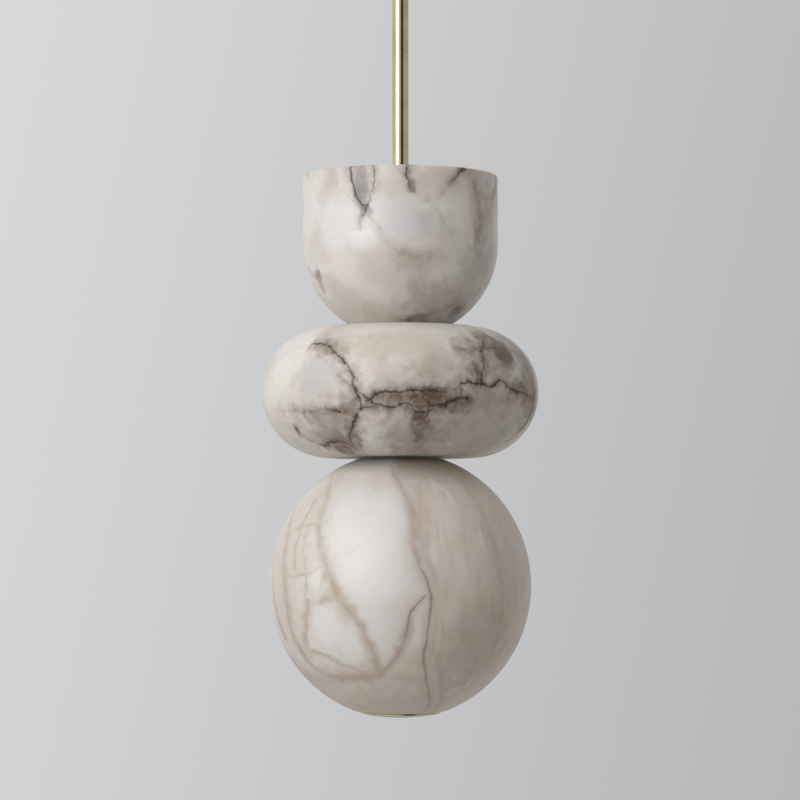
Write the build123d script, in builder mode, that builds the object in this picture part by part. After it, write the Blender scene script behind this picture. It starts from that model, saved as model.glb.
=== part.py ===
"""Marble pendant light: three turned stones on one hanging rod, under a brass stem and canopy.

The origin is the centre of the ceiling plate's upper face, where it meets the ceiling. +Z is up,
so the whole light lies below zero. +X points at the supply cable's entry. Millimetres.
"""

import math
import os

from build123d import *

# Fits and clearances, all radial
running_fit = 0.05
thread_fit = 0.05
sliding_fit = 0.3
rod_clearance = 0.5
screw_clearance = 0.25

# Ceiling plate, pressed from sheet steel
canopy_diameter = 120.0
canopy_wall = 1.5
plate_thickness = 2.0
dish_depth = 10.0
dish_diameter = 48.0
dish_slope = 7.0
fixing_circle_diameter = 84.0
fixing_hole_diameter = 5.5
fixing_count = 4
entry_hole_diameter = 13.0
tab_width = 14.0
tab_length = 18.0
tab_screw_depth = 12.0

# Supply terminals and earth
grommet_bore = 8.0
grommet_lip = 1.5
terminal_length = 28.0
terminal_width = 13.0
terminal_height = 12.0
terminal_pitch = 8.5
terminal_ways = 3
terminal_screw_diameter = 3.0
earth_screw_diameter = 4.0
earth_screw_length = 8.0

# Swivel, a forged cross between two clevises
stud_diameter = 10.0
nut_flats = 17.0
nut_thickness = 5.0
washer_diameter = 21.0
washer_thickness = 1.6
yoke_diameter = 22.0
yoke_base = 3.5
ear_radius = 5.0
ear_thickness = 4.0
ear_reach = 8.5
cross_side = 10.0
cross_gap = 0.6
trunnion_diameter = 4.5
bush_wall = 1.0
wire_way_diameter = 5.5

# Domed swivel cover, a hollow ball that fills the canopy's hole at every tilt
cover_diameter = 44.0
cover_wall = 2.0
cover_lip = 2.0
cover_floor_drop = 17.0
cover_foot_drop = 21.0
canopy_floor_drop = 11.0
canopy_edge_radius = 6.0
canopy_ceiling_gap = 0.5
canopy_screw_diameter = 4.0
canopy_knob_diameter = 10.0
canopy_knob_length = 6.0

# Stem, half-inch brass lighting tube
stem_diameter = 12.7
stem_wall = 1.2
stem_length = 300.0
spigot_length = 12.0
foot_diameter = 24.0
foot_height = 26.0
foot_socket = 16.0
foot_collar = 19.0
grub_screw_diameter = 4.0

# Hanging rod, hollow and threaded along its whole length
rod_diameter = 10.0
rod_bore = 6.4

# Stones
cup_diameter = 150.0
cup_straight_height = 52.5
cup_bowl_depth = 71.6
cup_foot_cut = 8.7
cup_wall = 12.0
cup_floor_thickness = 14.0
cup_lip_radius = 1.2
disc_diameter = 212.0
disc_height = 99.5
disc_flat_diameter = 110.0
disc_wall = 14.0
ball_diameter = 200.0
ball_half_height = 101.9
ball_top_cut = 5.3
ball_foot_cut = 5.6
ball_wall = 12.0
ball_floor_thickness = 18.0

# Seals and centring between the stones
gasket_thickness = 1.0
gasket_margin = 3.0
gasket_width = 4.5
hub_depth = 8.0
hub_lip = 2.0
hub_wire_circle_diameter = 27.0
hub_wire_hole_diameter = 6.0

# Lamps and their holders
lamp_count = 3
lamp_diameter = 14.0
lamp_height = 40.0
lamp_base_diameter = 12.6
lamp_base_length = 4.6
pin_spacing = 9.0
pin_diameter = 1.5
pin_length = 6.0
holder_diameter = 16.0
holder_height = 16.0
holder_recess = 5.0
holder_screw_diameter = 3.0
holder_screw_head_diameter = 5.2
holder_screw_sink_depth = 2.2
holder_screw_head_height = 1.8
gallery_thickness = 2.0
gallery_margin = 2.0
gallery_ring_radius = 21.0
carrier_ring_radius = 14.0
carrier_thickness = 2.0
carrier_hub_diameter = 17.0
carrier_hub_height = 7.0
disc_carrier_lift = 1.0
ball_carrier_drop = 20.0

# Bottom fixing and end cap
cap_diameter = 60.0
cap_rim_thickness = 0.8
cap_height = 3.8
cap_gasket_thickness = 0.5
cap_gasket_width = 2.0
cap_recess_diameter = 34.0
cap_recess_depth = 12.0
support_washer_diameter = 31.0
support_washer_thickness = 2.0
cap_boss_diameter = 14.0
cap_boss_height = 4.2

# Radii used by more than one piece
stud_r = stud_diameter / 2
rod_r = rod_diameter / 2
rod_hole_r = rod_r + rod_clearance
rod_seat_r = rod_r + thread_fit
stem_r = stem_diameter / 2
canopy_r = canopy_diameter / 2
canopy_inner_r = canopy_r - canopy_wall
plate_r = canopy_inner_r - sliding_fit
yoke_r = yoke_diameter / 2
ear_inner = cross_side / 2 + cross_gap
trunnion_r = trunnion_diameter / 2
bush_inner_r = trunnion_r + running_fit
bush_outer_r = bush_inner_r + bush_wall
cover_r = cover_diameter / 2
cover_inner_r = cover_r - cover_wall
spigot_r = stem_r - stem_wall - thread_fit
holder_r = holder_diameter / 2
carrier_r = carrier_ring_radius + holder_r
opening_r = carrier_r + rod_clearance
gallery_r = gallery_ring_radius + holder_r + gallery_margin
service_ring = dish_diameter / 4 + dish_slope / 2 + plate_r / 2

# Stone heights, from the full shape less what is cut off for its flats
cup_height = cup_straight_height + cup_bowl_depth - cup_foot_cut
ball_above = ball_half_height - ball_top_cut
ball_below = ball_half_height - ball_foot_cut

# Heights, from the ceiling down
pan_top_z = -dish_depth
pan_z = pan_top_z - plate_thickness
pivot_z = pan_z - yoke_base - ear_reach
stem_top_z = pivot_z - cover_foot_drop
stem_foot_z = stem_top_z - stem_length
canopy_floor_z = pivot_z - canopy_floor_drop
canopy_base_z = canopy_floor_z - canopy_wall
tab_screw_z = -tab_screw_depth
gallery_z = stem_foot_z - (foot_height - foot_socket)
floor_gasket_z = gallery_z - gallery_thickness
cup_floor_z = floor_gasket_z - gasket_thickness
cup_foot_z = cup_floor_z - cup_floor_thickness
cup_rim_z = cup_foot_z + cup_height
disc_top_z = cup_foot_z - gasket_thickness
disc_middle_z = disc_top_z - disc_height / 2
disc_foot_z = disc_top_z - disc_height
ball_top_z = disc_foot_z - gasket_thickness
ball_middle_z = ball_top_z - ball_above
ball_foot_z = ball_middle_z - ball_below
cap_z = ball_foot_z - cap_gasket_thickness
recess_top_z = ball_foot_z + cap_recess_depth
support_nut_z = recess_top_z - support_washer_thickness - nut_thickness
disc_carrier_z = disc_foot_z + disc_wall + disc_carrier_lift + carrier_hub_height
ball_carrier_z = ball_middle_z - ball_carrier_drop
rod_top_z = stem_foot_z - thread_fit
rod_end_z = cap_z - cap_rim_thickness / 2


def ellipse_x(half_width, half_height, rise):
    """Half-width of an ellipse at a height above or below its centre."""
    return half_width * math.sqrt(1 - (rise / half_height) ** 2)


def ellipse_angle(half_height, rise):
    """Parametric angle, in degrees, at which an ellipse reaches a height."""
    return math.degrees(math.asin(rise / half_height))


def finish(builder, label):
    """Name a finished piece and write it out."""
    builder.part.label = label
    export_step(builder.part, f"parts/{label}.step")


def ring(label, z, outer_r, inner_r, height):
    """A washer, gasket or spacer that stands on z."""
    with BuildPart() as piece:
        with BuildSketch(Plane.XY.offset(z)):
            Circle(outer_r)
            Circle(inner_r, mode=Mode.SUBTRACT)
        extrude(amount=height)
    finish(piece, label)


def hex_nut(label, z, bore_r):
    """A hexagon nut that stands on z, with both faces turned to a cone at the corners."""
    corner_r = nut_flats / math.sqrt(3)
    with BuildPart() as piece:
        with BuildSketch(Plane.XY.offset(z)):
            RegularPolygon(nut_flats / 2, 6, major_radius=False)
            Circle(bore_r, mode=Mode.SUBTRACT)
        extrude(amount=nut_thickness)
        with BuildSketch(Plane.XY.offset(z)):
            Circle(corner_r)
        extrude(amount=nut_thickness, mode=Mode.INTERSECT)
        bevel = (corner_r - nut_flats / 2) / 2
        with BuildSketch(Plane.XZ):
            for end_z, way in ((z, 1), (z + nut_thickness, -1)):
                with BuildLine():
                    Polyline(
                        (corner_r - bevel, end_z),
                        (corner_r + bevel, end_z),
                        (corner_r + bevel, end_z + way * bevel),
                        close=True,
                    )
                make_face()
        revolve(axis=Axis.Z, mode=Mode.SUBTRACT)
    finish(piece, label)


def clevis_ears(plane, base_z):
    """Two rounded ears from a base to the pivot, square to the plane, bored for their bushes."""
    with BuildPart() as ears:
        for offset in (ear_inner, -ear_inner - ear_thickness):
            with BuildSketch(plane.offset(offset)):
                with Locations((0, pivot_z)):
                    Circle(ear_radius)
                with Locations((0, (pivot_z + base_z) / 2)):
                    Rectangle(2 * ear_radius, abs(pivot_z - base_z))
                with Locations((0, pivot_z)):
                    Circle(bush_outer_r, mode=Mode.SUBTRACT)
            extrude(amount=ear_thickness)
    return ears.part


def clevis_bushes(plane, label):
    """The pair of plain bushes that line a clevis's ears."""
    with BuildPart() as bushes:
        for offset in (ear_inner, -ear_inner - ear_thickness):
            with BuildSketch(plane.offset(offset)):
                with Locations((0, pivot_z)):
                    Circle(bush_outer_r)
                    Circle(bush_inner_r, mode=Mode.SUBTRACT)
            extrude(amount=ear_thickness)
    finish(bushes, label)


def lampholders(label, z, ring_r):
    """Ceramic two-pin holders on a circle, each with a lamp recess, pin holes and a screw hole."""
    with BuildPart() as holders:
        with BuildSketch(Plane.XY.offset(z)):
            with PolarLocations(ring_r, lamp_count):
                Circle(holder_r)
                Circle(holder_screw_diameter / 2 + screw_clearance, mode=Mode.SUBTRACT)
        extrude(amount=holder_height)
        with BuildSketch(Plane.XY.offset(z + holder_height)):
            with PolarLocations(ring_r, lamp_count):
                Circle(lamp_base_diameter / 2 + sliding_fit)
        extrude(amount=-holder_recess, mode=Mode.SUBTRACT)
        with BuildSketch(Plane.XY.offset(z + holder_height - holder_recess)):
            with PolarLocations(ring_r, lamp_count):
                Circle(holder_screw_head_diameter / 2 + screw_clearance)
        extrude(amount=-holder_screw_sink_depth, mode=Mode.SUBTRACT)
        with BuildSketch(Plane.XY.offset(z + holder_height - holder_recess)):
            with PolarLocations(ring_r, lamp_count):
                with Locations((0, pin_spacing / 2), (0, -pin_spacing / 2)):
                    Circle(pin_diameter / 2 + sliding_fit)
        extrude(amount=-(pin_length + sliding_fit), mode=Mode.SUBTRACT)
    finish(holders, label)


def holder_screws(label, z, ring_r, plate_depth):
    """Cheese-head screws that go down through the holders into the plate under them."""
    head_z = z + holder_height - holder_recess - holder_screw_sink_depth
    with BuildPart() as screws:
        with BuildSketch(Plane.XY.offset(head_z)):
            with PolarLocations(ring_r, lamp_count):
                Circle(holder_screw_head_diameter / 2)
        extrude(amount=holder_screw_head_height)
        with BuildSketch(Plane.XY.offset(head_z)):
            with PolarLocations(ring_r, lamp_count):
                Circle(holder_screw_diameter / 2)
        extrude(amount=z - plate_depth - head_z)
    finish(screws, label)


def lamp():
    """One opal capsule lamp, with its holder's upper face at z = 0."""
    base_r = lamp_base_diameter / 2
    bulb_r = lamp_diameter / 2
    base_z = -lamp_base_length
    with BuildPart() as capsule:
        with BuildSketch(Plane.XZ):
            with BuildLine():
                Polyline(
                    (0, base_z),
                    (base_r, base_z),
                    (base_r, sliding_fit),
                    (bulb_r, sliding_fit + bulb_r - base_r),
                    (bulb_r, lamp_height - bulb_r),
                )
                RadiusArc((bulb_r, lamp_height - bulb_r), (0, lamp_height), -bulb_r)
                Line((0, lamp_height), (0, base_z))
            make_face()
        revolve(axis=Axis.Z)
        with BuildSketch(Plane.XY.offset(base_z)):
            with Locations((0, pin_spacing / 2), (0, -pin_spacing / 2)):
                Circle(pin_diameter / 2)
        extrude(amount=-(pin_length - (holder_recess - lamp_base_length)))
    return capsule.part


def lamp_carrier(label, z):
    """A round plate on a hub that is locked to the rod, and carries the lampholders on top."""
    with BuildPart() as carrier:
        with BuildSketch(Plane.XY.offset(z)):
            Circle(carrier_r)
        extrude(amount=carrier_thickness)
        with BuildSketch(Plane.XY.offset(z)):
            Circle(carrier_hub_diameter / 2)
        extrude(amount=-carrier_hub_height)
        with BuildSketch(Plane.XY.offset(z - carrier_hub_height)):
            Circle(rod_seat_r)
        extrude(amount=carrier_hub_height + carrier_thickness, mode=Mode.SUBTRACT)
        with BuildSketch(Plane.XY.offset(z)):
            with PolarLocations(carrier_ring_radius, lamp_count):
                Circle(holder_screw_diameter / 2)
            with PolarLocations(carrier_ring_radius, lamp_count, start_angle=180 / lamp_count):
                Circle(hub_wire_hole_diameter / 2)
        extrude(amount=carrier_thickness, mode=Mode.SUBTRACT)
        with BuildSketch(Plane.YZ):
            with Locations((0, z - carrier_hub_height / 2)):
                Circle(grub_screw_diameter / 2)
        extrude(amount=carrier_hub_diameter / 2, mode=Mode.SUBTRACT)
    finish(carrier, label)


def grub(label, z, inner_r, outer_r):
    """A headless set screw along +X, from the piece it bites on to its boss's outside."""
    with BuildPart() as screw:
        with BuildSketch(Plane.YZ.offset(inner_r)):
            with Locations((0, z)):
                Circle(grub_screw_diameter / 2)
        extrude(amount=outer_r - inner_r)
        with BuildSketch(Plane.YZ.offset(outer_r)):
            with Locations((0, z)):
                RegularPolygon(grub_screw_diameter / 4, 6)
        extrude(amount=-(outer_r - inner_r) / 2, mode=Mode.SUBTRACT)
    finish(screw, label)


def centring_hub(label, stone_z):
    """A flanged plug in a stone's opening, which keeps the stone true to the rod."""
    plug_r = opening_r - sliding_fit
    with BuildPart() as hub:
        with BuildSketch(Plane.XY.offset(stone_z)):
            Circle(opening_r + hub_lip)
        extrude(amount=gasket_thickness)
        with BuildSketch(Plane.XY.offset(stone_z)):
            Circle(plug_r)
        extrude(amount=-hub_depth)
        chamfer(hub.edges().group_by(Axis.Z)[0], hub_lip / 2)
        with BuildSketch(Plane.XY.offset(stone_z - hub_depth)):
            Circle(rod_seat_r)
            with PolarLocations(hub_wire_circle_diameter / 2, lamp_count, start_angle=180 / lamp_count):
                Circle(hub_wire_hole_diameter / 2)
        extrude(amount=hub_depth + gasket_thickness, mode=Mode.SUBTRACT)
    finish(hub, label)


os.makedirs("parts", exist_ok=True)

# Ceiling plate: a dished disc with a screw tab turned down at each side
tab_outer_y = math.sqrt(plate_r**2 - (tab_width / 2) ** 2)
tab_middle_y = tab_outer_y - plate_thickness / 2
dish_r = dish_diameter / 2
entry_spot = (service_ring, 0)
earth_spot = ((yoke_r + dish_r) / 2, 0)
with BuildPart() as ceiling_plate:
    with BuildSketch(Plane.XZ):
        with BuildLine():
            Polyline(
                (0, pan_top_z),
                (dish_r, pan_top_z),
                (dish_r + dish_slope, 0),
                (plate_r, 0),
                (plate_r, -plate_thickness),
                (dish_r + dish_slope + plate_thickness, -plate_thickness),
                (dish_r + plate_thickness, pan_z),
                (0, pan_z),
                close=True,
            )
        make_face()
    revolve(axis=Axis.Z)
    fillet(ceiling_plate.edges().filter_by(GeomType.CIRCLE).group_by(Axis.Z)[0], plate_thickness / 2)
    with BuildSketch(Plane.XY.offset(-plate_thickness)):
        with Locations((0, tab_middle_y), (0, -tab_middle_y)):
            Rectangle(tab_width, plate_thickness)
    extrude(amount=-(tab_length - plate_thickness))
    with BuildSketch(Plane.XZ):
        with Locations((0, tab_screw_z)):
            Circle(canopy_screw_diameter / 2)
    extrude(amount=plate_r, both=True, mode=Mode.SUBTRACT)
    with BuildSketch(Plane.XY):
        with PolarLocations(fixing_circle_diameter / 2, fixing_count, start_angle=180 / fixing_count):
            Circle(fixing_hole_diameter / 2)
        with Locations(entry_spot):
            Circle(entry_hole_diameter / 2)
        with Locations((-service_ring, 0)):
            Circle(terminal_screw_diameter / 2)
    extrude(amount=-plate_thickness, mode=Mode.SUBTRACT)
    with BuildSketch(Plane.XY.offset(pan_top_z)):
        Circle(stud_r + thread_fit)
        with Locations(earth_spot):
            Circle(earth_screw_diameter / 2)
    extrude(amount=-plate_thickness, mode=Mode.SUBTRACT)
finish(ceiling_plate, "ceiling_plate")

# Rubber grommet in the cable entry: a lip below, a neck, and a shallow lip flush with the ceiling
neck_r = entry_hole_diameter / 2
with BuildPart() as cable_grommet:
    with BuildSketch(Plane.XY):
        with Locations(entry_spot):
            Circle(neck_r)
    extrude(amount=-plate_thickness)
    with BuildSketch(Plane.XY.offset(-plate_thickness)):
        with Locations(entry_spot):
            Circle(neck_r + grommet_lip)
    extrude(amount=-2 * grommet_lip)
    fillet(cable_grommet.edges().group_by(Axis.Z)[0], grommet_lip / 2)
    with BuildSketch(Plane.XY):
        with Locations(entry_spot):
            Circle(grommet_bore / 2)
    extrude(amount=-(plate_thickness + 2 * grommet_lip), mode=Mode.SUBTRACT)
finish(cable_grommet, "cable_grommet")

# Terminal block: one moulding with a raised tower for each way
terminal_base_z = -plate_thickness - terminal_height
tower_ys = [(way - (terminal_ways - 1) / 2) * terminal_pitch for way in range(terminal_ways)]
with BuildPart() as terminal_block:
    with BuildSketch(Plane.XY.offset(-plate_thickness)):
        with Locations((-service_ring, 0)):
            Rectangle(terminal_width, terminal_length)
    extrude(amount=-terminal_height / 2)
    with BuildSketch(Plane.XY.offset(-plate_thickness - terminal_height / 2)):
        with Locations(*[(-service_ring, y) for y in tower_ys]):
            Rectangle(terminal_width, terminal_pitch * 0.8)
    extrude(amount=-terminal_height / 2)
    with BuildSketch(Plane.YZ.offset(-service_ring - terminal_width / 2)):
        with Locations(*[(y, -plate_thickness - terminal_height / 2) for y in tower_ys]):
            Circle(terminal_pitch / 4)
    extrude(amount=terminal_width, mode=Mode.SUBTRACT)
    with BuildSketch(Plane.XY.offset(terminal_base_z)):
        with Locations(*[(-service_ring + terminal_width / 4, y) for y in tower_ys]):
            Circle(terminal_screw_diameter / 2)
        with Locations(*[(-service_ring - terminal_width / 4, y) for y in tower_ys]):
            Circle(terminal_screw_diameter / 2)
    extrude(amount=terminal_height / 2 - terminal_pitch / 4, mode=Mode.SUBTRACT)
    with BuildSketch(Plane.XY.offset(terminal_base_z)):
        with Locations((-service_ring, 0)):
            Circle(terminal_screw_diameter / 2)
    extrude(amount=terminal_height, mode=Mode.SUBTRACT)
finish(terminal_block, "terminal_block")

with BuildPart() as terminal_screws:
    with BuildSketch(Plane.XY.offset(terminal_base_z + terminal_screw_diameter / 4)):
        for side in (1, -1):
            with Locations(*[(-service_ring + side * terminal_width / 4, y) for y in tower_ys]):
                Circle(terminal_screw_diameter / 2 - running_fit)
    extrude(amount=terminal_screw_diameter)
finish(terminal_screws, "terminal_screws")

with BuildPart() as terminal_fixing_screw:
    with BuildSketch(Plane.XY.offset(terminal_base_z)):
        with Locations((-service_ring, 0)):
            Circle(terminal_screw_diameter / 2 - running_fit)
    extrude(amount=terminal_height + plate_thickness)
    with BuildSketch(Plane.XY.offset(terminal_base_z)):
        with Locations((-service_ring, 0)):
            Circle(terminal_screw_diameter * 0.9)
    extrude(amount=-terminal_screw_diameter / 2)
    fillet(terminal_fixing_screw.edges().group_by(Axis.Z)[0], terminal_screw_diameter / 5)
finish(terminal_fixing_screw, "terminal_fixing_screw")

# Earth screw: up through the pan from below, with its cup washer
cup_washer_z = pan_z - earth_screw_diameter / 4
with BuildPart() as earth_screw:
    with BuildSketch(Plane.XY.offset(cup_washer_z)):
        with Locations(earth_spot):
            Circle(earth_screw_diameter / 2 - running_fit)
    extrude(amount=earth_screw_length)
    with BuildSketch(Plane.XY.offset(cup_washer_z)):
        with Locations(earth_spot):
            Circle(earth_screw_diameter * 0.8)
    extrude(amount=-earth_screw_diameter / 2)
    with BuildSketch(Plane.XY.offset(cup_washer_z - earth_screw_diameter / 2)):
        with Locations(earth_spot):
            Rectangle(earth_screw_diameter * 2, earth_screw_diameter / 5)
    extrude(amount=earth_screw_diameter / 4, mode=Mode.SUBTRACT)
finish(earth_screw, "earth_screw")

with BuildPart() as earth_washer:
    with BuildSketch(Plane.XY.offset(pan_z)):
        with Locations(earth_spot):
            Circle(earth_screw_diameter)
            Circle(earth_screw_diameter / 2, mode=Mode.SUBTRACT)
    extrude(amount=cup_washer_z - pan_z)
finish(earth_washer, "earth_washer")

# Upper clevis: its stud goes up through the pan and is held by a washer and nut
upper_base_z = pan_z - yoke_base
stud_top_z = pan_top_z + washer_thickness + nut_thickness + stud_diameter / 20
with BuildPart() as upper_clevis:
    with BuildSketch(Plane.XY.offset(upper_base_z)):
        Circle(yoke_r)
    extrude(amount=yoke_base)
    with BuildSketch(Plane.XY.offset(pan_z)):
        Circle(stud_r)
    extrude(amount=stud_top_z - pan_z)
    chamfer(upper_clevis.edges().group_by(Axis.Z)[-1], stud_diameter / 12)
    add(clevis_ears(Plane.YZ, upper_base_z))
finish(upper_clevis, "upper_clevis")
clevis_bushes(Plane.YZ, "upper_clevis_bushes")
ring("stud_washer", pan_top_z, washer_diameter / 2, stud_r + thread_fit, washer_thickness)
hex_nut("stud_nut", pan_top_z + washer_thickness, stud_r + thread_fit)

# Swivel cross: a cube with four trunnions, the lower clevis's axis square to the upper's
trunnion_reach = ear_inner + ear_thickness
with BuildPart() as swivel_cross:
    with Locations((0, 0, pivot_z)):
        Box(cross_side, cross_side, cross_side)
        chamfer(swivel_cross.edges(), cross_side / 10)
        Cylinder(trunnion_r, 2 * trunnion_reach, rotation=(0, 90, 0))
        Cylinder(trunnion_r, 2 * trunnion_reach, rotation=(90, 0, 0))
finish(swivel_cross, "swivel_cross")

# Lower clevis: its neck sits in the cover and its hollow spigot screws into the stem
lower_base_z = pivot_z - ear_reach
neck_top_z = lower_base_z - yoke_base
neck_z = pivot_z - cover_floor_drop
with BuildPart() as lower_clevis:
    with BuildSketch(Plane.XY.offset(neck_top_z)):
        Circle(yoke_r)
    extrude(amount=yoke_base)
    with BuildSketch(Plane.XY.offset(neck_z)):
        Circle(stem_r)
    extrude(amount=neck_top_z - neck_z)
    with BuildSketch(Plane.XY.offset(stem_top_z - spigot_length)):
        Circle(spigot_r)
    extrude(amount=neck_z - stem_top_z + spigot_length)
    add(clevis_ears(Plane.XZ, lower_base_z))
    with BuildSketch(Plane.XY.offset(stem_top_z - spigot_length)):
        Circle(wire_way_diameter / 2)
    extrude(amount=lower_base_z - stem_top_z + spigot_length, mode=Mode.SUBTRACT)
finish(lower_clevis, "lower_clevis")
clevis_bushes(Plane.XZ, "lower_clevis_bushes")

# Domed swivel cover: a hollow ball about the pivot, clamped between the lower clevis and the stem
with BuildPart() as swivel_cover:
    with BuildSketch(Plane.XZ):
        with BuildLine():
            lip_angle = ellipse_angle(cover_r, cover_lip)
            foot_angle = ellipse_angle(cover_r, cover_foot_drop)
            inner_lip_angle = ellipse_angle(cover_inner_r, cover_lip)
            inner_foot_angle = ellipse_angle(cover_inner_r, cover_floor_drop)
            outside = CenterArc((0, pivot_z), cover_r, -foot_angle, foot_angle + lip_angle)
            inside = CenterArc(
                (0, pivot_z), cover_inner_r, -inner_foot_angle, inner_foot_angle + inner_lip_angle
            )
            Line(outside @ 1, inside @ 1)
            Polyline(
                inside @ 0,
                (spigot_r + thread_fit, neck_z),
                (spigot_r + thread_fit, stem_top_z),
                outside @ 0,
            )
        make_face()
    revolve(axis=Axis.Z)
finish(swivel_cover, "swivel_cover")

# Canopy: a spun cup with two open slots in its rim, which drop over the screws in the plate's tabs
canopy_top_z = -canopy_ceiling_gap
canopy_hole_r = ellipse_x(cover_r, cover_r, canopy_floor_drop) + sliding_fit
slot_r = canopy_screw_diameter / 2 + sliding_fit
with BuildPart() as canopy:
    with BuildSketch(Plane.XY.offset(canopy_base_z)):
        Circle(canopy_r)
    extrude(amount=canopy_top_z - canopy_base_z)
    fillet(canopy.edges().group_by(Axis.Z)[0], canopy_edge_radius)
    with BuildSketch(Plane.XZ):
        with BuildLine():
            bend = canopy_edge_radius - canopy_wall
            Polyline(
                (canopy_inner_r - bend, canopy_floor_z),
                (0, canopy_floor_z),
                (0, canopy_top_z),
                (canopy_inner_r, canopy_top_z),
                (canopy_inner_r, canopy_floor_z + bend),
            )
            RadiusArc(
                (canopy_inner_r, canopy_floor_z + bend), (canopy_inner_r - bend, canopy_floor_z), bend
            )
        make_face()
    revolve(axis=Axis.Z, mode=Mode.SUBTRACT)
    with BuildSketch(Plane.XY.offset(canopy_base_z)):
        Circle(canopy_hole_r)
    extrude(amount=canopy_wall, mode=Mode.SUBTRACT)
    with BuildSketch(Plane.XZ):
        with Locations((0, tab_screw_z)):
            Circle(slot_r)
        with Locations((0, (canopy_top_z + tab_screw_z) / 2)):
            Rectangle(2 * slot_r, canopy_top_z - tab_screw_z)
    extrude(amount=canopy_r, both=True, mode=Mode.SUBTRACT)
finish(canopy, "canopy")

# Canopy screws: knurled brass heads outside the canopy, shanks in the plate's tabs
knob_start_y = canopy_r + sliding_fit
flute_count = 16
with BuildPart() as canopy_screws:
    for side in (1, -1):
        shank_plane = Plane(
            origin=(0, side * (tab_outer_y - plate_thickness), tab_screw_z),
            x_dir=(1, 0, 0),
            z_dir=(0, side, 0),
        )
        knob_plane = shank_plane.offset(knob_start_y - tab_outer_y + plate_thickness)
        with BuildSketch(shank_plane):
            Circle(canopy_screw_diameter / 2)
        extrude(amount=knob_start_y - tab_outer_y + plate_thickness)
        with BuildSketch(knob_plane):
            Circle(canopy_knob_diameter / 2)
            with PolarLocations(canopy_knob_diameter / 2, flute_count):
                Circle(canopy_knob_diameter / 25, mode=Mode.SUBTRACT)
        extrude(amount=canopy_knob_length)
finish(canopy_screws, "canopy_screws")

# Stem tube
with BuildPart() as stem_tube:
    with BuildSketch(Plane.XY.offset(stem_foot_z)):
        Circle(stem_r)
        Circle(stem_r - stem_wall, mode=Mode.SUBTRACT)
    extrude(amount=stem_length)
finish(stem_tube, "stem_tube")

# Stem foot: a turned socket that takes the stem from above and the hanging rod from below
foot_top_z = gallery_z + foot_height
socket_r = stem_r + thread_fit
grub_z = stem_foot_z + foot_socket / 2
with BuildPart() as stem_foot:
    with BuildSketch(Plane.XZ):
        with BuildLine():
            Polyline(
                (rod_seat_r, gallery_z),
                (foot_diameter / 2, gallery_z),
                (foot_diameter / 2, gallery_z + foot_height / 6),
                (foot_collar / 2, gallery_z + foot_height / 3),
                (foot_collar / 2, foot_top_z),
                (socket_r, foot_top_z),
                (socket_r, stem_foot_z),
                (rod_seat_r, stem_foot_z),
                close=True,
            )
        make_face()
    revolve(axis=Axis.Z)
    chamfer(stem_foot.edges().group_by(Axis.Z)[-1].sort_by(SortBy.RADIUS)[-1], stem_wall / 2)
    with BuildSketch(Plane.YZ):
        with Locations((0, grub_z)):
            Circle(grub_screw_diameter / 2)
    extrude(amount=foot_collar / 2, mode=Mode.SUBTRACT)
finish(stem_foot, "stem_foot")
grub("stem_grub_screw", grub_z, stem_r, foot_collar / 2)

# Hanging rod, from the stem foot down to the end cap
with BuildPart() as hanging_rod:
    with BuildSketch(Plane.XY.offset(rod_end_z)):
        Circle(rod_r)
        Circle(rod_bore / 2, mode=Mode.SUBTRACT)
    extrude(amount=rod_top_z - rod_end_z)
finish(hanging_rod, "hanging_rod")

# Brass gallery on the cup's floor, which carries the three lampholders round the stem foot
with BuildPart() as cup_gallery:
    with BuildSketch(Plane.XY.offset(floor_gasket_z)):
        Circle(gallery_r)
    extrude(amount=gallery_thickness)
    fillet(cup_gallery.edges().group_by(Axis.Z)[-1], gallery_thickness / 3)
    with BuildSketch(Plane.XY.offset(floor_gasket_z)):
        Circle(rod_seat_r)
        with PolarLocations(gallery_ring_radius, lamp_count):
            Circle(holder_screw_diameter / 2)
        with PolarLocations(gallery_ring_radius, lamp_count, start_angle=180 / lamp_count):
            Circle(hub_wire_hole_diameter / 2)
    extrude(amount=gallery_thickness, mode=Mode.SUBTRACT)
finish(cup_gallery, "cup_gallery")
lampholders("cup_lampholders", gallery_z, gallery_ring_radius)
holder_screws("cup_holder_screws", gallery_z, gallery_ring_radius, gallery_thickness)
ring("cup_floor_gasket", cup_floor_z, gallery_r - gasket_margin, rod_seat_r, gasket_thickness)

# Cup lamps, each a piece of its own because each pulls up out of its holder
capsule_lamp = lamp()
for number, spot in enumerate(PolarLocations(gallery_ring_radius, lamp_count), start=1):
    with BuildPart() as cup_lamp:
        with Locations(Location((0, 0, gallery_z + holder_height)) * spot):
            add(capsule_lamp)
    finish(cup_lamp, f"cup_lamp_{number}")

# Stone cup: straight wall over a half-ellipse bowl, cut off flat for its foot
cup_r = cup_diameter / 2
cup_inner_r = cup_r - cup_wall
bowl_z = cup_rim_z - cup_straight_height
foot_rise = cup_foot_z - bowl_z
floor_rise = cup_floor_z - bowl_z
cup_inner_depth = cup_bowl_depth - cup_wall
with BuildPart() as stone_cup:
    with BuildSketch(Plane.XZ):
        with BuildLine():
            outside = EllipticalCenterArc(
                (0, bowl_z), cup_r, cup_bowl_depth, 0, arc_size=ellipse_angle(cup_bowl_depth, foot_rise)
            )
            inside = EllipticalCenterArc(
                (0, bowl_z),
                cup_inner_r,
                cup_inner_depth,
                0,
                arc_size=ellipse_angle(cup_inner_depth, floor_rise),
            )
            Polyline(outside @ 0, (cup_r, cup_rim_z), (cup_inner_r, cup_rim_z), inside @ 0)
            Polyline(
                outside @ 1, (rod_hole_r, cup_foot_z), (rod_hole_r, cup_floor_z), inside @ 1
            )
        make_face()
    revolve(axis=Axis.Z)
    fillet(stone_cup.edges().group_by(Axis.Z)[-1], cup_lip_radius)
finish(stone_cup, "stone_cup")

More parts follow.
